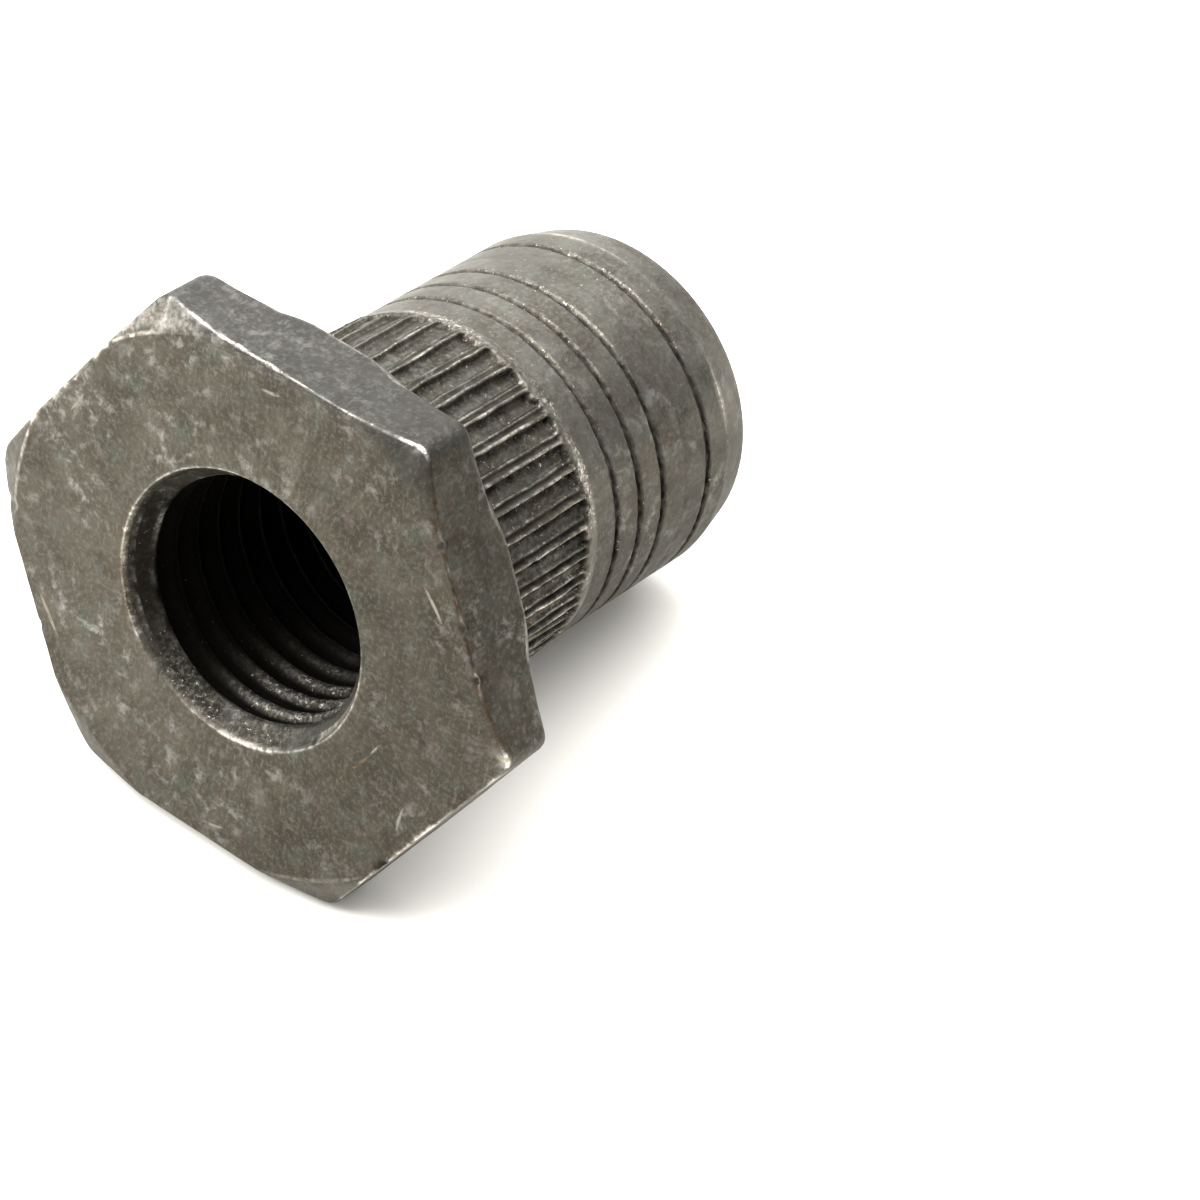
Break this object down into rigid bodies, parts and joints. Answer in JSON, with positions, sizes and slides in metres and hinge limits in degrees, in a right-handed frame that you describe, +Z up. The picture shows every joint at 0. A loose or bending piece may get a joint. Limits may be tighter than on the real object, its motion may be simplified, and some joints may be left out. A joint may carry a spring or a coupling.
{
  "type": "press-in nut",
  "caption": "Press-in nut: a thin chamfered hexagonal head on a long shank with a straight knurl, ring grooves, a tapered end and a threaded through hole.",
  "frame": {"origin": "point on the table below the middle of the nut's bounding box, with the nut lying at rest on one flat of its head and the rim of its shank", "axes": "+Z up from the table; the nut's axis runs from the head's outer face along +Y and dips 11.0 degrees below level; +X across the nut"},
  "size_m": [0.021, 0.0222, 0.0186],
  "materials": {
    "steel": "dark tumbled oxide, worn bright along the edges"
  },
  "bodies": {
    "root": {"press_nut": "steel"}
  },
  "joints": []
}
